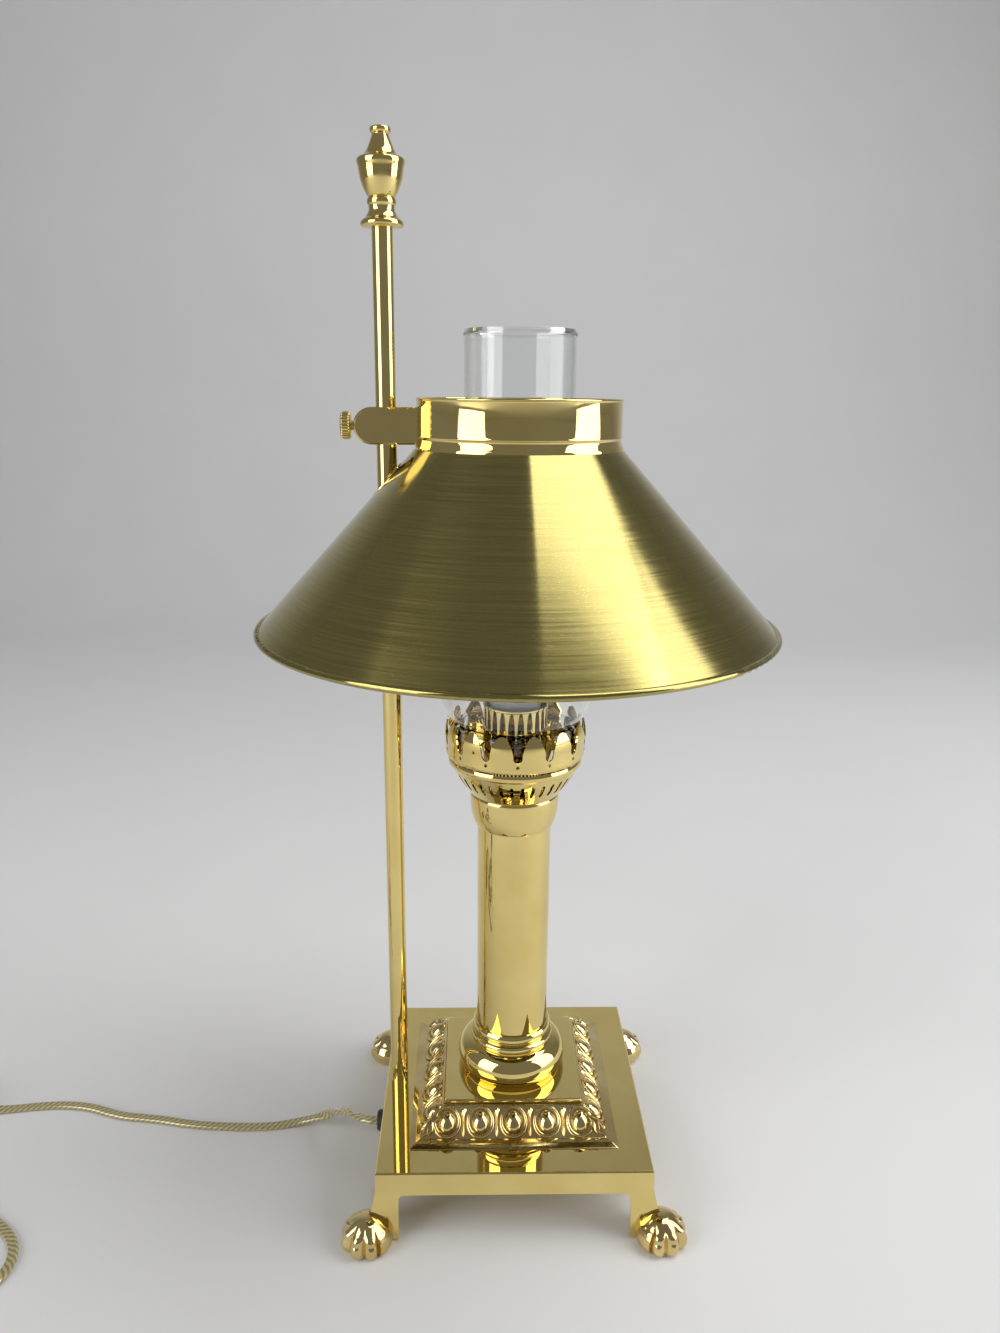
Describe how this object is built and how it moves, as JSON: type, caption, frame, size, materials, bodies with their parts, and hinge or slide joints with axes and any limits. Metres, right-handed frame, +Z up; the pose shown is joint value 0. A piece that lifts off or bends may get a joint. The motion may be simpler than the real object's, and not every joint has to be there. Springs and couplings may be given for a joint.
{
  "type": "table lamp",
  "caption": "Brass table lamp: square base on paw feet, column with pierced gallery and glass chimney, and a cone shade that slides and swings on a side rod.",
  "frame": {"origin": "on the table, on the column's axis, under the centre of the square base", "axes": "+Z up; -Y is the front, the side the picture shows; the rod and the cord are on the -X side"},
  "size_m": [0.5681, 0.2544, 0.525],
  "materials": {
    "polished_brass": "mirror-polished, clear lacquered",
    "cast_brass": "cast and polished, darker in the hollows",
    "brushed_brass": "brushed round the cone, satin",
    "plain_brass": "plain stamped brass",
    "plain_steel": "zinc-plated steel",
    "bulb_aluminium": "plain aluminium screw base",
    "clear_glass": "clear blown glass",
    "frosted_glass": "inside-frosted white glass",
    "fibre_card": "waxed insulating card",
    "dark_plastic": "black moulded plastic",
    "brown_plastic": "dark brown moulded plastic",
    "cream_plastic": "cream moulded plastic",
    "gold_cord": "clear gold insulation over copper strands"
  },
  "bodies": {
    "lamp": {"base_shell": "polished_brass", "paw_front_right": "cast_brass", "paw_back_right": "cast_brass", "paw_back_left": "cast_brass", "paw_front_left": "cast_brass", "base_moulding": "cast_brass", "inner_plate": "polished_brass", "column_foot": "polished_brass", "column_tube": "polished_brass", "column_capital": "polished_brass", "lamp_pipe": "plain_steel", "pipe_nut": "plain_steel", "pipe_washer": "plain_steel", "gallery_bowl": "polished_brass", "gallery_crown": "polished_brass", "socket_cap": "polished_brass", "socket_shell": "polished_brass", "socket_liner": "fibre_card", "socket_core": "dark_plastic", "socket_thread": "plain_brass", "socket_contact": "plain_brass", "rod": "polished_brass", "rod_washer": "plain_steel", "rod_nut": "plain_steel", "finial": "polished_brass", "cord_bushing": "dark_plastic", "inner_cord": "gold_cord", "cord_lead": "gold_cord", "switch_lower": "brown_plastic", "switch_upper": "brown_plastic", "cord_loop": "gold_cord", "cord_coil": "gold_cord", "cord_tie": "dark_plastic", "cord_tail": "gold_cord", "plug_body": "brown_plastic", "plug_blade_left": "plain_brass", "plug_blade_right": "plain_brass"},
    "chimney": {"chimney": "clear_glass"},
    "bulb_tip": {"bulb_contact": "plain_steel"},
    "bulb": {"bulb_glass": "frosted_glass", "bulb_base": "bulb_aluminium", "bulb_insulator": "dark_plastic"},
    "liner": {"clamp_liner": "plain_brass"},
    "shade": {"clamp_arm": "polished_brass", "shade_collar": "polished_brass", "shade_cone": "brushed_brass"},
    "screw_shank": {"thumb_screw_shank": "plain_steel"},
    "screw_head": {"thumb_screw_head": "polished_brass"},
    "switch_wheel": {"switch_wheel": "cream_plastic"}
  },
  "joints": [
    {"name": "shade_slide", "type": "slide", "parent": "lamp", "child": "liner", "axis": [0, 0, 1], "range_m": [-0.055, 0.075]},
    {"name": "shade_swing", "type": "hinge", "parent": "liner", "child": "shade", "pos_m": [-0.0625, 0, 0.398], "axis": [0, 0, 1], "range_deg": [-8, 8]},
    {"name": "screw_travel", "type": "slide", "parent": "shade", "child": "screw_shank", "axis": [-1, 0, 0], "range_m": [0, 0.00161]},
    {"name": "screw_turn", "type": "hinge", "parent": "screw_shank", "child": "screw_head", "pos_m": [-0.08, 0, 0.398], "axis": [-1, 0, 0], "range_deg": [0, 720]},
    {"name": "chimney_lift", "type": "slide", "parent": "lamp", "child": "chimney", "axis": [0, 0, 1], "range_m": [0, 0.18]},
    {"name": "bulb_rise", "type": "slide", "parent": "lamp", "child": "bulb_tip", "axis": [0, 0, 1], "range_m": [0, 0.01453]},
    {"name": "bulb_turn", "type": "hinge", "parent": "bulb_tip", "child": "bulb", "pos_m": [0, 0, 0.24], "axis": [0, 0, 1], "range_deg": [0, 1440]},
    {"name": "switch_turn", "type": "hinge", "parent": "lamp", "child": "switch_wheel", "pos_m": [-0.347, 0.026, 0.006], "axis": [0, 0, 1], "continuous": true}
  ],
  "couplings": [
    {"joint": "screw_travel", "follows": "screw_turn", "m_per_rad": 0.00012732},
    {"joint": "bulb_rise", "follows": "bulb_turn", "m_per_rad": 0.00057773}
  ]
}
